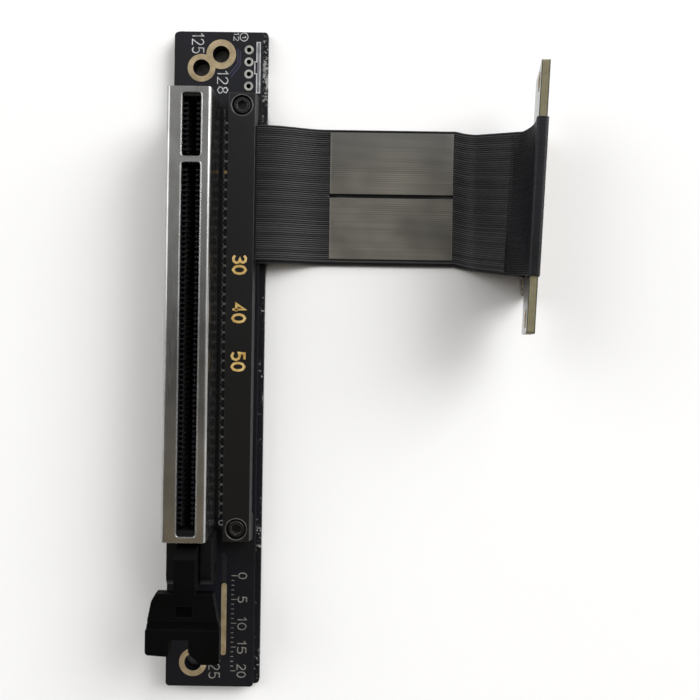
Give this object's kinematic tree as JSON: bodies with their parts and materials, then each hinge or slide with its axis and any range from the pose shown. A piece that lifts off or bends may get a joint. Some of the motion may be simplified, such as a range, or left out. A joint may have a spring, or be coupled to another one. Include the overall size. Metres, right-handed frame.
{
  "type": "expansion card extension cable",
  "caption": "Slim board with a steel-shielded card slot and latch, joined by a short flat ribbed cable to an upright plug card with gold edge fingers.",
  "frame": {"origin": "midway between the two mounting holes in line with the slot, on the underside of the back plate", "axes": "+X along the cable towards the plug card, +Y along the slot towards the power header, +Z out of the slot"},
  "size_m": [0.0785, 0.1383, 0.0203],
  "materials": {
    "board_mask": "satin solder mask",
    "plate_mask": "matt",
    "bare_gold": "thin plating",
    "shield_steel": "rolled, bright",
    "slot_plastic": "moulded",
    "contact_gold": "thin plating",
    "latch_plastic": "moulded",
    "bar_coating": "satin black",
    "screw_steel": "black oxide",
    "plug_laminate": "solder mask",
    "wrap_tape": "smooth tape",
    "cable_jacket": "satin, ribbed",
    "film": "translucent film"
  },
  "bodies": {
    "board_and_cable": {"slot_board": "board_mask", "back_plate": "plate_mask", "mounting_pads": "bare_gold", "ground_strip": "bare_gold", "slot_shield": "shield_steel", "slot_housing": "slot_plastic", "contact_dividers": "slot_plastic", "contacts_row_a": "contact_gold", "contacts_row_b": "contact_gold", "clamp_bar": "bar_coating", "clamp_screws": "screw_steel", "clamp_nuts": "screw_steel", "plug_board": "plug_laminate", "plug_fingers_front": "bare_gold", "plug_fingers_back": "bare_gold", "plug_eyelets": "bare_gold", "plug_wrap": "wrap_tape", "ribbon_upper": "cable_jacket", "ribbon_lower": "cable_jacket", "film_band_upper": "film", "film_band_lower": "film"},
    "latch": {"retention_latch": "latch_plastic"}
  },
  "joints": [
    {"name": "latch_hinge", "type": "hinge", "parent": "board_and_cable", "child": "latch", "pos_m": [0.00055, -0.0415, 0.0062], "axis": [1, 0, 0], "range_deg": [0, 25]}
  ]
}
